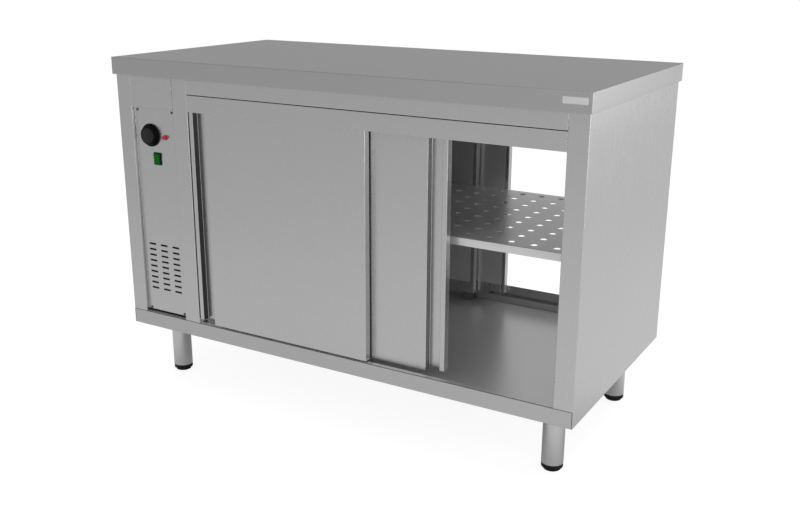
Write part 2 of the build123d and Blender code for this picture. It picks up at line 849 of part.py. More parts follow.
def roller(door, along):
    """Nylon roller, running on its axle a hair above the rail."""
    with BuildPart() as wheel:
        with BuildSketch(across_door(door, along, roller_near, roller_z)):
            Circle(roller_radius)
            Circle(axle_radius + running_gap, mode=Mode.SUBTRACT)
        extrude(amount=roller_width)
    return wheel.part


def panel_plane(y, x=0.0, z=0.0):
    """Upright plane seen from the front: local x to the right, local y up, normal towards the front."""
    return Plane(origin=(x, y, z), x_dir=(1, 0, 0), z_dir=(0, -1, 0))


def control_panel():
    """Recessed panel with the holes for knob, lamp and switch, and three columns of vent slots."""
    width = bay_width - 2 * bend_radius
    height = panel_top - panel_bottom
    with BuildPart() as panel:
        with BuildSketch(panel_plane(-panel_back)):
            with Locations((bay_middle, panel_bottom + height / 2)):
                Rectangle(width, height)
            with Locations((knob_x, knob_z)):
                Circle(knob_shaft_radius + shaft_hole_gap, mode=Mode.SUBTRACT)
            with Locations((lamp_x, lamp_z)):
                Circle(lamp_radius + running_gap, mode=Mode.SUBTRACT)
            with Locations((switch_x, switch_z)):
                Rectangle(*switch_cutout, mode=Mode.SUBTRACT)
            with Locations(*screw_places):
                RegularPolygon(screw_radius + running_gap, screw_sides, False, mode=Mode.SUBTRACT)
            with Locations((vent_x, vent_middle_z)):
                with GridLocations(vent_pitch_x, vent_pitch_z, 3, vent_rows):
                    Rectangle(vent_width, vent_height, mode=Mode.SUBTRACT)
        extrude(amount=sheet)
    return panel.part


def panel_screws():
    """Four pan-head screws that hold the control panel."""
    with BuildPart() as screws:
        with BuildSketch(panel_plane(-panel_face)):
            with Locations(*screw_places):
                RegularPolygon(screw_head_radius, screw_sides)
        extrude(amount=screw_head)
        with BuildSketch(panel_plane(-panel_face)):
            with Locations(*screw_places):
                RegularPolygon(screw_radius, screw_sides)
        extrude(amount=-sheet)
    return screws.part


def thermostat_body():
    """Thermostat behind the panel, bored for the knob's shaft."""
    size = thermostat_size
    with BuildPart() as body:
        with BuildSketch(panel_plane(-panel_back, knob_x, knob_z)):
            Rectangle(size, size)
        extrude(amount=-thermostat_depth)
        with BuildSketch(panel_plane(-panel_back, knob_x, knob_z)):
            Rectangle(size + 2 * thermostat_ear, thermostat_ear_height)
        extrude(amount=-2 * sheet)
        with BuildSketch(panel_plane(-panel_back, knob_x, knob_z)):
            Circle(knob_shaft_radius + running_gap)
        extrude(amount=-thermostat_depth / 2, mode=Mode.SUBTRACT)
    return body.part


def thermostat_knob():
    """Round knob: a low skirt, the grip with its bevelled front edge, and the shaft."""
    base = panel_face + rub_gap
    shaft_length = rub_gap + sheet + thermostat_depth / 2 - shaft_end_gap
    with BuildPart() as knob:
        with BuildSketch(panel_plane(-base, knob_x, knob_z)):
            Circle(knob_radius)
        extrude(amount=knob_skirt)
        with BuildSketch(panel_plane(-base - knob_skirt, knob_x, knob_z)):
            Circle(knob_front_radius)
        extrude(amount=knob_height - knob_skirt)
        chamfer(knob.faces().sort_by(Axis.Y)[0].edges(), length=knob_edge)
        with BuildSketch(panel_plane(-base, knob_x, knob_z)):
            Circle(knob_shaft_radius)
        extrude(amount=-shaft_length)
    return knob.part


def lamp_lens():
    """Red lens with its collar in front of the panel."""
    with BuildPart() as lens:
        with BuildSketch(panel_plane(-panel_face, lamp_x, lamp_z)):
            Circle(lamp_radius + lamp_collar)
        extrude(amount=lamp_collar)
        with BuildSketch(panel_plane(-panel_face - lamp_collar, lamp_x, lamp_z)):
            Circle(lamp_radius)
        extrude(amount=lamp_length - lamp_collar)
        chamfer(lens.faces().sort_by(Axis.Y)[0].edges(), length=lamp_edge)
    return lens.part


def lamp_barrel_body():
    """Black barrel of the lamp, through the panel and behind it."""
    with BuildPart() as barrel:
        with BuildSketch(panel_plane(-panel_face, lamp_x, lamp_z)):
            Circle(lamp_radius)
        extrude(amount=-lamp_barrel)
    return barrel.part


def switch_housing():
    """Black switch body: bezel on the panel, box through it and the well for the rocker."""
    with BuildPart() as housing:
        with BuildSketch(panel_plane(-panel_face, switch_x, switch_z)):
            RectangleRounded(bezel_width, bezel_height, bezel_border)
        extrude(amount=bezel_thickness)
        with BuildSketch(panel_plane(-panel_face, switch_x, switch_z)):
            Rectangle(switch_cutout[0] - 2 * running_gap, switch_cutout[1] - 2 * running_gap)
        extrude(amount=-switch_depth)
        with BuildSketch(panel_plane(-panel_face - bezel_thickness, switch_x, switch_z)):
            Rectangle(rocker_width, 2 * rocker_radius + 2 * rub_gap)
        extrude(amount=-(bezel_thickness / 2 + rocker_radius + rub_gap), mode=Mode.SUBTRACT)
    return housing.part


def switch_rocker():
    """Rocker: a round-backed key with a shallow vee across its face, tilted to one side at rest."""
    width = rocker_width - 2 * rub_gap
    plane = Plane(
        origin=(switch_x - width / 2, -pivot_y, switch_z),
        x_dir=(0, -cos(radians(rocker_tilt)), -sin(radians(rocker_tilt))), z_dir=(-1, 0, 0))
    with BuildPart() as rocker:
        with BuildSketch(plane):
            Circle(rocker_radius)
            with BuildLine():
                Polyline(
                    (rocker_valley, 0), (rocker_crest, rocker_radius), (2 * rocker_radius, 2 * rocker_radius),
                    (2 * rocker_radius, -2 * rocker_radius), (rocker_crest, -rocker_radius), close=True)
            make_face(mode=Mode.SUBTRACT)
        extrude(amount=width, dir=(1, 0, 0))
    return rocker.part


def terminal_block():
    """Mains terminals on the partition, above the duct."""
    face = partition_x - terminal_depth
    bottom = duct_top + terminal_lift
    half = terminal_length / 2
    with BuildPart() as block:
        add(slab((face, partition_x), (-half, half), (bottom, bottom + terminal_height)))
        middle = (face, 0, bottom + terminal_height / 2)
        with BuildSketch(Plane(origin=middle, x_dir=(0, 1, 0), z_dir=(-1, 0, 0))):
            with GridLocations(terminal_pitch, 0, terminal_ways, 1):
                Rectangle(*terminal_hole)
        extrude(amount=-terminal_hole_depth, mode=Mode.SUBTRACT)
    return block.part


os.makedirs("parts", exist_ok=True)

save(worktop(), "worktop")
save(top_stiffeners(), "top_stiffeners")
save(left_side_panel(), "left_side_panel")
save(right_side_panel(), "right_side_panel")
save(base_tray(), "base_tray")
save(leg_channels(), "leg_channels")
save(legs(), "legs")
save(leg_inserts(), "leg_inserts")
for place, where in zip(leg_places, ("front_left", "rear_left", "front_right", "rear_right")):
    save(foot(place.position.X, place.position.Y), f"{where}_foot")
for inwards, where in ((FRONT, "front"), (BACK, "rear")):
    save(header(inwards), f"{where}_header")
    save(track(inwards), f"{where}_door_track")
    save(divider(inwards), f"{where}_divider")
    save(floor_guide(inwards), f"{where}_floor_guide")
save(bay_filler(FRONT), "bay_filler")
save(rear_sill(), "rear_sill")
save(partition_wall(), "partition_wall")
save(air_duct(), "air_duct")
save(fan_frame(), "fan_frame")
save(fan_rotor(), "fan_rotor")
save(heater_bank(), "heater_bank")
save(rear_bay_cover(), "rear_bay_cover")
save(cable_gland(), "cable_gland")
save(shelf(), "perforated_shelf")
save(shelf_ledges(), "shelf_ledges")
for door in doors:
    save(door_skin(door), f"{door.name}_door_skin")
    save(door_liner(door), f"{door.name}_door_liner")
    save(door_hangers(door), f"{door.name}_door_hangers")
    for along, end in zip(hanger_places(door), ("grip", "tail")):
        save(roller(door, along), f"{door.name}_{end}_roller")
save(control_panel(), "control_panel")
save(panel_screws(), "panel_screws")
save(thermostat_body(), "thermostat_body")
save(thermostat_knob(), "thermostat_knob")
save(lamp_lens(), "lamp_lens")
save(lamp_barrel_body(), "lamp_barrel")
save(switch_housing(), "switch_housing")
save(switch_rocker(), "switch_rocker")
save(terminal_block(), "terminal_block")
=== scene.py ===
"""Looks of the hot food counter: finishes, round pieces, screws, controls and the perforated shelf."""
from math import atan2, cos, pi, radians, sin

import bpy
from mathutils import Matrix, Vector


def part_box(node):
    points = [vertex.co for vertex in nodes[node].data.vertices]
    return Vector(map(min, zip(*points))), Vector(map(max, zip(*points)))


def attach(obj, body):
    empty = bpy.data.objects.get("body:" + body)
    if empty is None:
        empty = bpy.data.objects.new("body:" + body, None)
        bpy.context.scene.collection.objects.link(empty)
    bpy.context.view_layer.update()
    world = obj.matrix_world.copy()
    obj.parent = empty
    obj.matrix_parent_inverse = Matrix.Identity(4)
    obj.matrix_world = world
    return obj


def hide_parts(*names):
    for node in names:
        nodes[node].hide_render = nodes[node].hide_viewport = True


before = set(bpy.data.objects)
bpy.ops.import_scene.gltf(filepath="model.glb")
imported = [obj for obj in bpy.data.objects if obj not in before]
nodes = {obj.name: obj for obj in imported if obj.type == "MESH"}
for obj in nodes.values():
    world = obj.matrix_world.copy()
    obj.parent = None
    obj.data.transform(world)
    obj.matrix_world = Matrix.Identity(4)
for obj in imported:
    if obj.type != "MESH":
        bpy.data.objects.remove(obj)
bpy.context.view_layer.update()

mm = 0.001


# Camera, fitted to the corners of the counter in the photo

sensor_width = 36.0
lens = 44.13
clip_start = 0.01
camera_place = Vector((1.193, -1.998, 1.051))
camera_yaw = radians(30.33)
camera_pitch = radians(17.21)
camera_roll = radians(0.237)


def make_camera():
    """Camera at the photo's place, looking left and down at the counter."""
    ahead = Vector((-sin(camera_yaw) * cos(camera_pitch),
                    cos(camera_yaw) * cos(camera_pitch),
                    -sin(camera_pitch)))
    level = Vector((cos(camera_yaw), sin(camera_yaw), 0))
    upright = level.cross(ahead)
    right = level * cos(camera_roll) + upright * sin(camera_roll)
    up = upright * cos(camera_roll) - level * sin(camera_roll)
    data = bpy.data.cameras.new("photo_camera")
    data.lens = lens
    data.sensor_width = sensor_width
    data.clip_start = clip_start
    camera = bpy.data.objects.new("photo_camera", data)
    bpy.context.scene.collection.objects.link(camera)
    turn = Matrix((right, up, -ahead)).transposed().to_4x4()
    camera.matrix_world = Matrix.Translation(camera_place) @ turn
    bpy.context.scene.camera = camera


# Shader nodes

def new_material(name):
    """A new material, its node tree and its shader."""
    material = bpy.data.materials.new(name)
    material.use_nodes = True
    tree = material.node_tree
    return material, tree, tree.nodes["Principled BSDF"]


def add_node(tree, kind, **settings):
    """Add a node and set its properties and inputs by name."""
    node = tree.nodes.new(kind)
    for key, value in settings.items():
        if hasattr(node, key):
            setattr(node, key, value)
        else:
            node.inputs[key.replace("_", " ")].default_value = value
    return node


def maths(tree, operation, *values, clamp=False):
    """The result of a maths node on outputs of other nodes and on numbers."""
    node = add_node(tree, "ShaderNodeMath", operation=operation, use_clamp=clamp)
    for value, socket in zip(values, node.inputs):
        if isinstance(value, (int, float)):
            socket.default_value = value
        else:
            tree.links.new(value, socket)
    return node.outputs["Value"]


def ranged(tree, source, start, end, low, high, kind="LINEAR"):
    """A value carried over from the range start to end to the range low to high, and held there."""
    span = add_node(tree, "ShaderNodeMapRange", interpolation_type=kind,
                    From_Min=start, From_Max=end, To_Min=low, To_Max=high)
    tree.links.new(source, span.inputs["Value"])
    return span.outputs["Result"]


def scaled(tree, colour, share):
    """A colour multiplied by a number that other nodes work out."""
    scale = add_node(tree, "ShaderNodeVectorMath", operation="SCALE")
    tree.links.new(colour, scale.inputs[0])
    tree.links.new(share, scale.inputs["Scale"])
    return scale.outputs["Vector"]


def split(tree, vector):
    """The three parts of a vector."""
    parts = add_node(tree, "ShaderNodeSeparateXYZ")
    tree.links.new(vector, parts.inputs[0])
    return parts.outputs["X"], parts.outputs["Y"], parts.outputs["Z"]


def stretched_noise(tree, stretch, scale, detail):
    """Noise on object coordinates, drawn out along one axis."""
    place = add_node(tree, "ShaderNodeTexCoord")
    mapping = add_node(tree, "ShaderNodeMapping", Scale=stretch)
    noise = add_node(tree, "ShaderNodeTexNoise", Scale=scale, Detail=detail)
    tree.links.new(place.outputs["Object"], mapping.inputs["Vector"])
    tree.links.new(mapping.outputs["Vector"], noise.inputs["Vector"])
    return noise.outputs["Fac"]


# Steel

# Each span says where a look begins and where it is full: on the noise, on how open a place is (painted
# shade in creases), and on the upward, the largest and the sideways part of the normal (painted light by
# facing, painted shade on folds and grip walls).
noise_span = (0.3, 0.7)
grain_span = (0.35, 0.65)
crease_shade_span = (0.15, 0.55)
facing_light_span = (0.2, 0.8)
fold_shade_span = (0.78, 0.9)
sideways_span = (0.5, 0.95)

even = (1.0, 1.0, 1.0)
grain_directions = {
    "along": (1.0, 60.0, 60.0),
    "upright": (60.0, 60.0, 1.0),
    "across": (60.0, 1.0, 60.0),
}
grain_scale, grain_detail = 22.0, 4.0
cloud_scale, cloud_detail = 3.0, 2.0
cloud_share = 0.45
steel_specular = 0.3
steel_blue = 1.004
steel_spread = (-0.015, 0.02)
bump_strength = 0.006
bump_depth = 0.2 * mm
# Painted shade: the colour in the most closed creases falls to this share of the steel's own.
crease_shade_dark = 0.25
crease_shade_samples = 10
edge_samples = 12

recess_middle = 28.5 * mm
recess_half = 16.5 * mm
recess_band = 2.6 * mm
# Painted shade on the walls of the recessed finger grips: this share of the steel's colour on the left
# doors, a lighter share on the right doors.
recess_left_painted_shade = 0.12
recess_right_painted_shade = 0.4


def painted_facing_light(tree, upright_painted_light):
    """Painted light and shade by facing: one on faces that look up, another share on upright ones."""
    surface = add_node(tree, "ShaderNodeNewGeometry")
    upward = split(tree, surface.outputs["True Normal"])[2]
    return ranged(tree, upward, *facing_light_span, upright_painted_light, 1.0)


def painted_fold_shade(tree, share):
    """Painted shade: less than one on the narrow slanting faces of sharp folds, where it stands for a dark
    line in place of their highlight, one elsewhere.
    """
    surface = add_node(tree, "ShaderNodeNewGeometry")
    x, y, z = (maths(tree, "ABSOLUTE", part) for part in split(tree, surface.outputs["True Normal"]))
    largest = maths(tree, "MAXIMUM", z, maths(tree, "MAXIMUM", x, y))
    return ranged(tree, largest, *fold_shade_span, share, 1.0)


def painted_recess_shade(tree, middle, share):
    """Painted shade: less than one on the two side walls of a recessed finger grip, one elsewhere."""
    place = add_node(tree, "ShaderNodeTexCoord")
    surface = add_node(tree, "ShaderNodeNewGeometry")
    across = maths(tree, "SUBTRACT", split(tree, place.outputs["Object"])[0], middle)
    near_wall = maths(tree, "COMPARE", maths(tree, "ABSOLUTE", across), recess_half, recess_band)
    sideways = maths(tree, "ABSOLUTE", split(tree, surface.outputs["Normal"])[0])
    turned = ranged(tree, sideways, *sideways_span, 0.0, 1 - share)
    return maths(tree, "SUBTRACT", 1.0, maths(tree, "MULTIPLY", near_wall, turned))


def brushed_steel(name, grain, tone, roughness=0.27, contrast=0.015, edge=1.2 * mm, metallic=0.9,
                  upright_painted_light=None, recess_shade=None, crease_shade_reach=3.0 * mm, fold_shade=None):
    """Satin stainless sheet: fine grain in one direction, soft clouding and rounded folds, with painted
    shade darkening seams, creases and recesses, and painted light or shade by facing where asked.
    """
    material, tree, shader = new_material(name)
    shader.inputs["Metallic"].default_value = metallic
    shader.inputs["Specular IOR Level"].default_value = steel_specular
    fine = stretched_noise(tree, grain_directions[grain], grain_scale, grain_detail)
    cloud = stretched_noise(tree, even, cloud_scale, cloud_detail)
    mix = add_node(tree, "ShaderNodeMix", data_type="FLOAT")
    mix.inputs["Factor"].default_value = cloud_share
    tree.links.new(fine, mix.inputs["A"])
    tree.links.new(cloud, mix.inputs["B"])
    # Painted shade: ambient occlusion darkens the colour in seams, creases, corners and beneath overhangs.
    crease_shade = add_node(tree, "ShaderNodeAmbientOcclusion", samples=crease_shade_samples, Distance=crease_shade_reach)
    shares = [ranged(tree, mix.outputs["Result"], *grain_span, 1 - contrast, 1 + contrast),
              ranged(tree, crease_shade.outputs["AO"], *crease_shade_span, crease_shade_dark, 1.0)]
    # Painted light and shade by facing: upright faces are drawn lighter or darker than faces that look up.
    if upright_painted_light:
        shares.append(painted_facing_light(tree, upright_painted_light))
    # Painted shade on the slanting faces of sharp folds, a dark line where they would catch a highlight.
    if fold_shade:
        shares.append(painted_fold_shade(tree, fold_shade))
    # Painted shade on the side walls of a recessed finger grip.
    if recess_shade:
        shares.append(painted_recess_shade(tree, *recess_shade))
    plain = add_node(tree, "ShaderNodeRGB")
    plain.outputs[0].default_value = (tone, tone, tone * steel_blue, 1)
    colour = plain.outputs[0]
    for share in shares:
        colour = scaled(tree, colour, share)
    tree.links.new(colour, shader.inputs["Base Color"])
    gloss = ranged(tree, fine, *noise_span, *(roughness + step for step in steel_spread))
    tree.links.new(gloss, shader.inputs["Roughness"])
    rounding = add_node(tree, "ShaderNodeBevel", samples=edge_samples, Radius=edge)
    bump = add_node(tree, "ShaderNodeBump", Strength=bump_strength, Distance=bump_depth)
    tree.links.new(fine, bump.inputs["Height"])
    tree.links.new(rounding.outputs["Normal"], bump.inputs["Normal"])
    tree.links.new(bump.outputs["Normal"], shader.inputs["Normal"])
    return material


steel_along = brushed_steel("satin_steel_along", "along", 0.54)
steel_upright = brushed_steel("satin_steel_upright", "upright", 0.54)
steel_across = brushed_steel("satin_steel_across", "across", 0.54)
# Painted shade and light: the worktop is a darker copy of the same steel, and its upright apron is painted
# lighter than its top.
steel_top = brushed_steel("satin_steel_worktop", "along", 0.35, roughness=0.3, upright_painted_light=1.32)
# Painted light: the inside sheet is a lighter, less metallic copy of the same steel, standing in for light
# that does not reach inside.
steel_inside = brushed_steel("inside_steel_painted_lighter", "along", 0.72, roughness=0.36, metallic=0.5)
# Painted light: the shelf and the tray are lighter, less metallic copies of the same steel; the tray also
# gets painted shade on its skirt, its slanting folds and, with a wider reach, in its corners.
steel_shelf = brushed_steel("shelf_steel", "along", 0.85, roughness=0.3, metallic=0.5)
steel_tray = brushed_steel("tray_steel", "along", 0.88, roughness=0.3, metallic=0.6, upright_painted_light=0.62,
                           crease_shade_reach=14 * mm, fold_shade=0.12)
steel_tube = brushed_steel("polished_tube_steel", "upright", 0.58, roughness=0.17, contrast=0.02)
steel_dark = brushed_steel("heated_sheath_steel", "across", 0.12, roughness=0.5, contrast=0.2)
screw_steel = brushed_steel("screw_steel", "across", 0.16, roughness=0.4, contrast=0.1, edge=0.2 * mm)


def door_steel(door):
    """The steel of one door, with painted shade on the walls of its recessed finger grip, deeper on the left
    doors.
    """
    low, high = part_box(f"{door}_skin")
    if door.endswith("left_door"):
        recess_shade = (low.x + recess_middle, recess_left_painted_shade)
    else:
        recess_shade = (high.x - recess_middle, recess_right_painted_shade)
    return brushed_steel(f"{door}_satin_steel", "upright", 0.54, recess_shade=recess_shade)


# Plastic and ceramic

skin_scale, skin_detail, skin_strength = 900.0, 2.0, 0.08
skin_depth = 0.1 * mm
wear_scale, wear_detail = 40.0, 4.0
plastic_dark, plastic_light, plastic_lift = 0.82, 1.15, 0.004
plastic_spread = (-0.06, 0.08)


def moulded_plastic(name, colour, roughness, coat=0.0, gloss=0.5):
    """Moulded plastic with a faint skin and uneven gloss."""
    material, tree, shader = new_material(name)
    shader.inputs["Coat Weight"].default_value = coat
    shader.inputs["Specular IOR Level"].default_value = gloss
    skin = stretched_noise(tree, even, skin_scale, skin_detail)
    wear = stretched_noise(tree, even, wear_scale, wear_detail)
    tint = add_node(tree, "ShaderNodeMix", data_type="RGBA")
    tint.inputs["A"].default_value = (*[c * plastic_dark for c in colour], 1)
    tint.inputs["B"].default_value = (*[min(1.0, c * plastic_light + plastic_lift) for c in colour], 1)
    tree.links.new(wear, tint.inputs["Factor"])
    tree.links.new(tint.outputs["Result"], shader.inputs["Base Color"])
    uneven = ranged(tree, wear, *noise_span, *(roughness + step for step in plastic_spread))
    tree.links.new(uneven, shader.inputs["Roughness"])
    bump = add_node(tree, "ShaderNodeBump", Strength=skin_strength, Distance=skin_depth)
    tree.links.new(skin, bump.inputs["Height"])
    tree.links.new(bump.outputs["Normal"], shader.inputs["Normal"])
    return material


foot_plastic = moulded_plastic("foot_black_plastic", (0.006, 0.006, 0.0065), 0.5, gloss=0.2)
knob_plastic = moulded_plastic("knob_black_plastic", (0.002, 0.002, 0.0022), 0.45, gloss=0.08)
knob_disc = moulded_plastic("knob_disc_plastic", (0.022, 0.022, 0.023), 0.4, gloss=0.2)
switch_plastic = moulded_plastic("switch_black_plastic", (0.004, 0.005, 0.004), 0.36, gloss=0.2)
rocker_plastic = moulded_plastic("rocker_green_plastic", (0.0, 0.2, 0.004), 0.4, gloss=0.08)
lamp_plastic = moulded_plastic("lamp_red_plastic", (0.62, 0.012, 0.045), 0.22, coat=0.5)
nylon = moulded_plastic("natural_nylon", (0.16, 0.16, 0.155), 0.5)
ceramic = moulded_plastic("terminal_ceramic", (0.62, 0.6, 0.53), 0.6)
label_blank = moulded_plastic("blank_label_film", (0.95, 0.95, 0.94), 0.4)


# Finishes of the carried-over pieces

def finish_node(name, material):
    """Give a carried-over piece its finish."""
    data = nodes[name].data
    data.materials.clear()
    data.materials.append(material)


finishes = {
    "worktop": steel_top, "bay_filler": steel_along, "base_tray": steel_tray, "rear_sill": steel_along,
    "left_side_panel": steel_upright, "right_side_panel": steel_upright, "control_panel": steel_upright,
    "rear_bay_cover": steel_upright, "partition_wall": steel_inside, "perforated_shelf": steel_along,
    "top_stiffeners": steel_inside, "leg_channels": steel_inside, "air_duct": steel_inside,
    "shelf_ledges": steel_across, "legs": steel_tube, "leg_inserts": foot_plastic,
    "fan_frame": switch_plastic, "fan_rotor": switch_plastic, "heater_bank": steel_dark,
    "cable_gland": foot_plastic, "panel_screws": screw_steel, "thermostat_body": steel_inside,
    "thermostat_knob": knob_plastic, "lamp_lens": lamp_plastic, "lamp_barrel": switch_plastic,
    "switch_housing": switch_plastic, "switch_rocker": rocker_plastic, "terminal_block": ceramic,
}
for row in ("front", "rear"):
    finishes[f"{row}_header"] = steel_along
    finishes[f"{row}_door_track"] = steel_along
    finishes[f"{row}_divider"] = steel_upright
    finishes[f"{row}_floor_guide"] = nylon
    for hand in ("left", "right"):
        door = f"{row}_{hand}_door"
        finishes[f"{door}_skin"] = door_steel(door)
        finishes[f"{door}_liner"] = steel_inside
        finishes[f"{door}_hangers"] = steel_inside
        finishes[f"{row}_{hand}_foot"] = foot_plastic
        for end in ("grip", "tail"):
            finishes[f"{row}_{hand}_{end}_roller"] = nylon
for name, material in finishes.items():
    finish_node(name, material)


# Modelling helpers

facing = 0.9
pick_slack = 1e-5
level_slack = 1e-6
weld_distance = 0.01 * mm
smooth_angle = radians(35)


def start_fresh():
    """Leave edit mode and drop every selection."""
    if bpy.context.object and bpy.context.object.mode != "OBJECT":
        bpy.ops.object.mode_set(mode="OBJECT")
    bpy.ops.object.select_all(action="DESELECT")


def prepare_picking(piece, kind):
    """Set a piece up for picking faces or edges, with none picked yet."""
    bpy.context.view_layer.objects.active = piece
    bpy.ops.object.mode_set(mode="EDIT")
    bpy.ops.mesh.select_mode(type=kind)
    bpy.ops.mesh.select_all(action="DESELECT")
    bpy.ops.object.mode_set(mode="OBJECT")


def select_faces(piece, wanted):
    """Enter edit mode on a piece with the faces picked out by their middle and normal."""
    prepare_picking(piece, "FACE")
    for face in piece.data.polygons:
        face.select = wanted(face.center, face.normal)
    bpy.ops.object.mode_set(mode="EDIT")


def select_edges(piece, wanted):
    """Enter edit mode on a piece with the edges picked out by their two ends."""
    prepare_picking(piece, "EDGE")
    points = piece.data.vertices
    for edge in piece.data.edges:
        edge.select = wanted(points[edge.vertices[0]].co, points[edge.vertices[1]].co)
    bpy.ops.object.mode_set(mode="EDIT")


def front_face(centre, normal):
    """Whether a face looks forward."""
    return normal.y < -facing


def bottom_face(centre, normal):
    """Whether a face looks down."""
    return normal.z < -facing


def top_face_at(height):
    """The test for faces that look up, at a height or over it."""
    return lambda centre, normal: normal.z > facing and centre.z > height - pick_slack


def level_edge(a, b):
    """Whether an edge's ends are at one height."""
    return abs(a.z - b.z) < level_slack


def inset_and_draw(thickness, travel):
    """Inset the picked faces and draw them out."""
    bpy.ops.mesh.inset(thickness=thickness)
    bpy.ops.mesh.extrude_region_move(TRANSFORM_OT_translate={"value": travel})


def bevel_picked(width, segments):
    """Round off what is picked and leave edit mode."""
    bpy.ops.mesh.bevel(offset=width, segments=segments)
    bpy.ops.object.mode_set(mode="OBJECT")


def add_modifier(piece, kind, **settings):
    """Add a modifier, set it and apply it."""
    start_fresh()
    piece.select_set(True)
    bpy.context.view_layer.objects.active = piece
    modifier = piece.modifiers.new(kind.lower(), kind)
    for key, value in settings.items():
        setattr(modifier, key, value)
    bpy.ops.object.modifier_apply(modifier=modifier.name)


def cut(piece, cutter):
    """Take one shape out of another."""
    add_modifier(piece, "BOOLEAN", operation="DIFFERENCE", solver="EXACT", object=cutter)
    bpy.data.objects.remove(cutter)


def finish_piece(piece, name, body, material, replaces=()):
    """Settle a piece: place in its mesh, outward normals, name, finish, body and the nodes it stands for."""
    start_fresh()
    piece.select_set(True)
    bpy.context.view_layer.objects.active = piece
    bpy.ops.object.transform_apply(location=True, rotation=True, scale=True)
    bpy.ops.object.mode_set(mode="EDIT")
    bpy.ops.mesh.select_all(action="SELECT")
    bpy.ops.mesh.remove_doubles(threshold=weld_distance)
    bpy.ops.mesh.normals_make_consistent(inside=False)
    bpy.ops.object.mode_set(mode="OBJECT")
    bpy.ops.object.shade_smooth_by_angle(angle=smooth_angle)
    piece.name = name
    piece.data.name = name
    piece.data.materials.clear()
    piece.data.materials.append(material)
    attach(piece, body)
    if replaces:
        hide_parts(*replaces)
    return piece


def round_bar(centre, radius, length, corners, axis="z"):
    """A cylinder primitive about a point, upright or from front to back."""
    start_fresh()
    turns = {"y": (pi / 2, 0, 0), "z": (0, 0, 0)}
    bpy.ops.mesh.primitive_cylinder_add(
        vertices=corners, radius=radius, depth=length, location=centre, rotation=turns[axis])
    piece = bpy.context.object
    bpy.ops.object.transform_apply(location=True, rotation=True, scale=True)
    return piece


def block(low, high):
    """A cube primitive between two corners."""
    start_fresh()
    middle = [(a + b) / 2 for a, b in zip(low, high)]
    size = [b - a for a, b in zip(low, high)]
    bpy.ops.mesh.primitive_cube_add(size=1, location=middle)
    piece = bpy.context.object
    piece.scale = size
    bpy.ops.object.transform_apply(location=True, rotation=True, scale=True)
    return piece


def join(pieces):
    """Join several pieces into the first."""
    start_fresh()
    for piece in pieces:
        piece.select_set(True)
    bpy.context.view_layer.objects.active = pieces[0]
    bpy.ops.object.join()
    return pieces[0]


def copied(piece, shift):
    """A copy of a piece with its own mesh, moved."""
    twin = piece.copy()
    twin.data = piece.data.copy()
    twin.data.transform(Matrix.Translation(shift))
    bpy.context.scene.collection.objects.link(twin)
    return twin


# Legs and feet

leg_low, leg_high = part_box("legs")
insert_low, insert_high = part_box("leg_inserts")
leg_corners = 72
leg_radius = 24.0 * mm
leg_wall = 1.5 * mm
leg_edge = 0.35 * mm
bore_share = 0.4
band_radius = 23.75 * mm
band_edge = 0.7 * mm
plug_play = 0.05 * mm
plug_radius = leg_radius - leg_wall - plug_play
pad_corners = 64
pad_edge = 0.9 * mm
pad_gap = 0.3 * mm
stem_radius = 5.0 * mm
leg_places = {
    "front_left": (leg_low.x + leg_radius, leg_low.y + leg_radius),
    "rear_left": (leg_low.x + leg_radius, leg_high.y - leg_radius),
    "front_right": (leg_high.x - leg_radius, leg_low.y + leg_radius),
    "rear_right": (leg_high.x - leg_radius, leg_high.y - leg_radius),
}


def make_leg(x, y):
    """Round tube: the bar's lower face is inset by the wall and pushed in to open it."""
    length = leg_high.z - leg_low.z
    tube = round_bar((x, y, (leg_low.z + leg_high.z) / 2), leg_radius, length, leg_corners)
    select_faces(tube, bottom_face)
    inset_and_draw(leg_wall, (0, 0, length * bore_share))
    bpy.ops.object.mode_set(mode="OBJECT")
    select_edges(tube, lambda a, b: max(a.z, b.z) < leg_low.z + pick_slack)
    bevel_picked(leg_edge, 2)
    return tube


def make_insert(x, y):
    """Plug with a rounded black band below the tube."""
    low, top = insert_low.z, leg_low.z
    plug = round_bar((x, y, (low + top) / 2), band_radius, top - low, leg_corners)
    select_edges(plug, level_edge)
    bevel_picked(band_edge, 3)
    select_faces(plug, top_face_at(top))
    inset_and_draw(band_radius - band_edge - plug_radius, (0, 0, insert_high.z - top))
    bpy.ops.object.mode_set(mode="OBJECT")
    return plug


def make_foot(x, y, node):
    """Screw-in foot: rounded pad with its stem above it."""
    low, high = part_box(node)
    radius = (high.x - low.x) / 2
    top = insert_low.z - pad_gap
    pad = round_bar((x, y, (low.z + top) / 2), radius, top - low.z, pad_corners)
    select_edges(pad, level_edge)
    bevel_picked(pad_edge, 3)
    select_faces(pad, top_face_at(top))
    inset_and_draw(radius - pad_edge - stem_radius, (0, 0, high.z - top))
    bpy.ops.object.mode_set(mode="OBJECT")
    return pad


tubes = [make_leg(*place) for place in leg_places.values()]
finish_piece(join(tubes), "leg_tubes", "cabinet", steel_tube, replaces=["legs"])
plugs = [make_insert(*place) for place in leg_places.values()]
finish_piece(join(plugs), "leg_end_plugs", "cabinet", foot_plastic, replaces=["leg_inserts"])
for where, place in leg_places.items():
    node = f"{where}_foot"
    finish_piece(make_foot(*place, node), f"{where}_levelling_foot", node, foot_plastic,
                 replaces=[node])


# Perforated shelf

hole_radius = 7.5 * mm
hole_pitch = 50.0 * mm
hole_corners = 24
shelf_sheet = 1.0 * mm
fold_radius = 1.5 * mm
cell_weld = 0.1 * mm


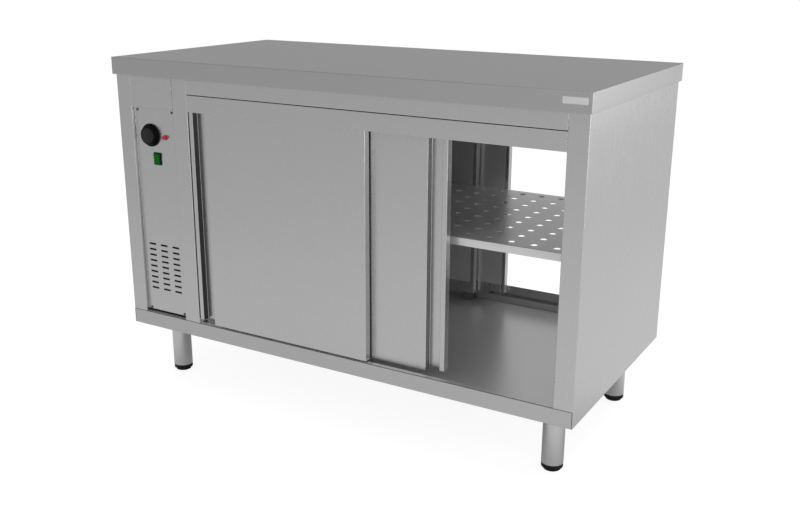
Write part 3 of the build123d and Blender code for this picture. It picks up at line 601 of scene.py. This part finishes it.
def make_cell(middle):
    """A square of plate with a round hole in it: a rim and a border, bridged."""
    rings = []
    for radius in (hole_radius, hole_pitch / 2):
        start_fresh()
        bpy.ops.mesh.primitive_circle_add(
            vertices=hole_corners, radius=radius, location=middle, rotation=(0, 0, pi / 4))
        rings.append(bpy.context.object)
    bpy.ops.object.transform_apply(location=False, rotation=True, scale=True)
    for point in rings[1].data.vertices:
        angle = atan2(point.co.y, point.co.x)
        side = round(angle / (pi / 2)) * (pi / 2)
        outward = Vector((cos(side), sin(side), 0))
        sideways = Vector((-sin(side), cos(side), 0))
        along = (angle - side) / (pi / 4) * hole_pitch / 2
        point.co = outward * hole_pitch / 2 + sideways * along
    cell = join(rings)
    select_edges(cell, lambda a, b: True)
    bpy.ops.mesh.bridge_edge_loops()
    bpy.ops.object.mode_set(mode="OBJECT")
    bpy.ops.object.transform_apply(location=True, rotation=True, scale=True)
    return cell


def make_shelf():
    """One cell repeated over the plate; then the margins and the lips are drawn out."""
    low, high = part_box("perforated_shelf")
    columns = int((high.x - low.x - hole_pitch) // hole_pitch) + 1
    rows = int((high.y - low.y - hole_pitch) // hole_pitch) + 1
    first = Vector(((low.x + high.x) / 2 - (columns - 1) / 2 * hole_pitch,
                    (low.y + high.y) / 2 - (rows - 1) / 2 * hole_pitch, high.z))
    plate = make_cell(first)
    for axis, count in enumerate((columns, rows)):
        shift = [0.0, 0.0, 0.0]
        shift[axis] = hole_pitch
        add_modifier(plate, "ARRAY", count=count, use_relative_offset=False, use_constant_offset=True,
                     constant_offset_displace=shift, use_merge_vertices=True, merge_threshold=cell_weld)
    for axis in (0, 1):
        for side in (0, 1):
            places = [point.co[axis] for point in plate.data.vertices]
            edge_at = max(places) if side else min(places)
            move = [0.0, 0.0, 0.0]
            move[axis] = (low, high)[side][axis] - edge_at
            select_edges(plate, lambda a, b: all(abs(p[axis] - edge_at) < pick_slack for p in (a, b)))
            bpy.ops.mesh.extrude_edges_move(TRANSFORM_OT_translate={"value": move})
            if axis == 1:
                bpy.ops.mesh.extrude_edges_move(TRANSFORM_OT_translate={"value": (0, 0, low.z - high.z)})
            bpy.ops.object.mode_set(mode="OBJECT")
    select_edges(plate, lambda a, b: all(
        abs(p.z - high.z) < level_slack and min(abs(p.y - low.y), abs(p.y - high.y)) < level_slack
        for p in (a, b)))
    bpy.ops.mesh.bevel(offset=fold_radius, segments=3)
    bpy.ops.mesh.select_all(action="SELECT")
    bpy.ops.mesh.normals_make_consistent(inside=False)
    bpy.ops.object.mode_set(mode="OBJECT")
    upward = sum(face.normal.z * face.area for face in plate.data.polygons)
    if upward < 0:
        plate.data.flip_normals()
    add_modifier(plate, "SOLIDIFY", thickness=shelf_sheet, offset=-1.0)
    return plate


finish_piece(make_shelf(), "shelf_with_round_holes", "cabinet", steel_shelf,
             replaces=["perforated_shelf"])


# Controls

panel_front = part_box("control_panel")[0].y

knob_corners = 96
knob_gap = 0.3 * mm
knob_skirt = 3.0 * mm
knob_base = 24.5 * mm
knob_front = 21.5 * mm
knob_edge = 1.4 * mm
knob_rim = 0.8 * mm
flat_front = 0.999
dish_slope = 0.4 * mm
groove_half = 0.8 * mm
groove_depth = 1.6 * mm
groove_ends = (0.8, 1.3)
cutter_extra = 2 * mm
shaft_corners = 32
shaft_radius = 3.0 * mm
shaft_extra = 1 * mm
disc_depth = 0.9 * mm
disc_margin = 2.8 * mm
disc_play = 0.2 * mm
disc_edge = 0.2 * mm


def axis_of(low, high):
    """A point on the front-to-back axis of a turned piece, from its box."""
    return Vector(((low.x + high.x) / 2, 0, (low.z + high.z) / 2))


def make_knob():
    """Thermostat knob: low skirt, tapered drum with a rounded front edge, a shallow dish and a groove."""
    low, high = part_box("thermostat_knob")
    centre = axis_of(low, high)
    skirt = (high.x - low.x) / 2
    front = low.y
    back = panel_front - knob_gap
    drum = round_bar((centre.x, back - knob_skirt / 2, centre.z), skirt, knob_skirt, knob_corners, axis="y")
    select_faces(drum, front_face)
    inset_and_draw(skirt - knob_base, (0, front - (back - knob_skirt), 0))
    taper = knob_front / knob_base
    bpy.ops.transform.resize(value=(taper, 1, taper), center_override=(centre.x, front, centre.z))
    bevel_picked(knob_edge, 4)
    select_faces(drum, lambda c, normal: normal.y < -flat_front and c.y < front + pick_slack)
    bpy.ops.mesh.inset(thickness=knob_rim)
    bpy.ops.mesh.inset(thickness=dish_slope, depth=-disc_depth)
    bpy.ops.object.mode_set(mode="OBJECT")
    groove = block(
        (centre.x - groove_half, front - cutter_extra, centre.z + knob_front * groove_ends[0]),
        (centre.x + groove_half, front + groove_depth, centre.z + knob_front * groove_ends[1]))
    cut(drum, groove)
    shaft = round_bar((centre.x, (back + high.y) / 2, centre.z), shaft_radius, high.y - back + shaft_extra,
                      shaft_corners, axis="y")
    return join([drum, shaft])


def make_knob_disc():
    """Flat disc let into the knob's dish, a little lower than its rim."""
    low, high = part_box("thermostat_knob")
    centre = axis_of(low, high)
    thick = disc_depth - disc_play
    disc = round_bar((centre.x, low.y + disc_depth - thick / 2, centre.z), knob_front - disc_margin, thick,
                     knob_corners, axis="y")
    select_faces(disc, front_face)
    bevel_picked(disc_edge, 2)
    return disc


finish_piece(make_knob(), "knob_drum", "thermostat_knob", knob_plastic,
             replaces=["thermostat_knob"])
finish_piece(make_knob_disc(), "knob_front_disc", "thermostat_knob", knob_disc)


lamp_corners = 48
collar_depth = 1.5 * mm
collar_step = 1.5 * mm
lens_taper = 0.9
lens_edge = 2.2 * mm


def make_lamp():
    """Lamp lens: a collar on the panel and a long rounded lens in front of it."""
    low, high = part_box("lamp_lens")
    centre = axis_of(low, high)
    collar = (high.x - low.x) / 2
    bar = round_bar((centre.x, high.y - collar_depth / 2, centre.z), collar, collar_depth, lamp_corners,
                    axis="y")
    select_faces(bar, front_face)
    inset_and_draw(collar_step, (0, low.y - (high.y - collar_depth), 0))
    bpy.ops.transform.resize(value=(lens_taper, 1, lens_taper), center_override=(centre.x, low.y, centre.z))
    bevel_picked(lens_edge, 5)
    return bar


finish_piece(make_lamp(), "lamp_red_lens", "cabinet", lamp_plastic, replaces=["lamp_lens"])


screw_corners = 32
screw_radius = 3.2 * mm
screw_head = 1.8 * mm
screw_edge = 1.0 * mm
cross_long = 1.8 * mm
cross_narrow = 0.4 * mm
cross_floor = 0.8 * mm
cross_start = 3 * mm
shank_corners = 16
shank_radius = 2.0 * mm
shank_length = 1.0 * mm


def make_screw(x, z):
    """Pan-head screw with a cross recess, on the control panel."""
    head = round_bar((x, panel_front - screw_head / 2, z), screw_radius, screw_head, screw_corners, axis="y")
    select_faces(head, front_face)
    bevel_picked(screw_edge, 4)
    for half_width, half_height in ((cross_long, cross_narrow), (cross_narrow, cross_long)):
        arm = block((x - half_width, panel_front - cross_start, z - half_height),
                    (x + half_width, panel_front - cross_floor, z + half_height))
        cut(head, arm)
    shank = round_bar((x, panel_front + shank_length / 2, z), shank_radius, shank_length, shank_corners,
                      axis="y")
    return join([head, shank])


def make_screws():
    """Screws in the corners of their box: one made, the others copied."""
    low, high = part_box("panel_screws")
    first = make_screw(low.x + screw_radius, low.z + screw_radius)
    across = high.x - low.x - 2 * screw_radius
    upward = high.z - low.z - 2 * screw_radius
    shifts = ((across, 0, 0), (0, 0, upward), (across, 0, upward))
    return join([first] + [copied(first, shift) for shift in shifts])


finish_piece(make_screws(), "panel_cross_screws", "cabinet", screw_steel,
             replaces=["panel_screws"])


# Blank label on the front apron

label_width = 50 * mm
label_height = 13 * mm
label_sheet = 0.25 * mm
label_from_right = 8.5 * mm
label_from_bottom = 16 * mm
label_corner = 1.5 * mm
label_rim = 0.15 * mm


def make_label():
    """Thin blank label with rounded corners near the right end of the front apron."""
    low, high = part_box("worktop")
    right = high.x - label_from_right
    bottom = low.z + label_from_bottom
    plate = block((right - label_width, low.y - label_sheet, bottom),
                  (right, low.y + label_sheet, bottom + label_height))
    select_edges(plate, lambda a, b: abs(a.y - b.y) > label_sheet)
    bevel_picked(label_corner, 4)
    select_faces(plate, front_face)
    bpy.ops.mesh.inset(thickness=label_rim)
    bpy.ops.object.mode_set(mode="OBJECT")
    return plate


finish_piece(make_label(), "blank_label", "cabinet", label_blank)


# Stage and light

floor_size = 400
floor_grey = 0.3
floor_roughness = 0.9
floor_glow = 0.88
# How white the floor is in metal, with a painted pool of light round the counter and a painted shadow
# beneath it: near the counter, far from it, and the share of that beneath it.
floor_near = 0.67
floor_far = 0.53
floor_painted_shadow = 0.4
pool_span = (0.9, 3.2)
painted_shadow_half = (0.66, 0.36)
painted_shadow_span = (0.8, 1.3)
world_light = 0.45
world_mirrored = 0.1


def whiteness(tree, mirrored):
    """How white the background is to a ray: fully to the camera and through glass, by a share in metal."""
    path = add_node(tree, "ShaderNodeLightPath")
    direct = maths(tree, "ADD", path.outputs["Is Camera Ray"], path.outputs["Is Transmission Ray"],
                   clamp=True)
    return maths(tree, "MULTIPLY_ADD", path.outputs["Is Glossy Ray"], mirrored, direct, clamp=True)


def distance(tree, place):
    """How far a place is from the origin."""
    reach = add_node(tree, "ShaderNodeVectorMath", operation="LENGTH")
    tree.links.new(place, reach.inputs[0])
    return reach.outputs["Value"]


def make_stage():
    """Plain pale floor that fades into the white background and keeps the soft shadow; in metal it shows a
    painted pool of light round the counter and a painted shadow beneath it.
    """
    start_fresh()
    bpy.ops.mesh.primitive_plane_add(size=floor_size, location=(0, 0, 0))
    floor = bpy.context.object
    floor.name = "stage_floor"
    material, tree, shader = new_material("stage_floor_white")
    shader.inputs["Base Color"].default_value = (floor_grey, floor_grey, floor_grey, 1)
    shader.inputs["Roughness"].default_value = floor_roughness
    shader.inputs["Specular IOR Level"].default_value = 0.0
    shader.inputs["Emission Color"].default_value = (1, 1, 1, 1)
    place = add_node(tree, "ShaderNodeTexCoord").outputs["Object"]
    # Painted pool of light: the floor's whiteness in metal fades with distance from the counter.
    pool = ranged(tree, distance(tree, place), *pool_span, floor_near, floor_far, kind="SMOOTHSTEP")
    # Painted shadow: the floor's whiteness in metal drops beneath the counter's outline.
    shadow_footprint = add_node(tree, "ShaderNodeMapping", Scale=(1 / painted_shadow_half[0], 1 / painted_shadow_half[1], 1))
    tree.links.new(place, shadow_footprint.inputs["Vector"])
    painted_shadow = ranged(tree, distance(tree, shadow_footprint.outputs["Vector"]), *painted_shadow_span, floor_painted_shadow, 1.0,
                   kind="SMOOTHSTEP")
    white = whiteness(tree, maths(tree, "MULTIPLY", pool, painted_shadow))
    tree.links.new(maths(tree, "MULTIPLY", white, floor_glow), shader.inputs["Emission Strength"])
    floor.data.materials.append(material)


def make_world():
    """White background for the camera, a softer grey in reflections and for the light from all round."""
    world = bpy.data.worlds.new("studio_world")
    bpy.context.scene.world = world
    world.use_nodes = True
    tree = world.node_tree
    background = tree.nodes["Background"]
    background.inputs["Color"].default_value = (1, 1, 1, 1)
    strength = ranged(tree, whiteness(tree, world_mirrored), 0.0, 1.0, world_light, 1.0)
    tree.links.new(strength, background.inputs["Strength"])


def soft_lamp(name, place, target, size, power):
    """A large soft rectangular lamp aimed at a point."""
    data = bpy.data.lights.new(name, "AREA")
    data.shape = "RECTANGLE"
    data.size, data.size_y = size
    data.energy = power
    lamp = bpy.data.objects.new(name, data)
    bpy.context.scene.collection.objects.link(lamp)
    lamp.location = place
    lamp.rotation_euler = (Vector(target) - Vector(place)).to_track_quat("-Z", "Y").to_euler()
    lamp.visible_camera = False


make_camera()
make_stage()
make_world()
soft_lamp("overhead_softbox", (1.0, 0.3, 3.2), (0.2, 0, 0.4), (2.0, 1.8), 30)
soft_lamp("fold_strip", (2.7, -1.4, 0.42), (0.3, -0.2, 0.42), (0.8, 0.72), 7)
soft_lamp("right_softbox", (3.0, 2.6, 0.9), (0.5, 0, 0.3), (2.4, 1.4), 24)
soft_lamp("front_softbox", (1.0, -4.0, 2.6), (0.2, 0, 0.3), (5.0, 3.4), 30)
soft_lamp("low_front_softbox", (2.6, -3.4, 0.4), (0.3, 0, 0.42), (3.4, 0.7), 10)
bpy.context.scene.view_settings.view_transform = "Standard"
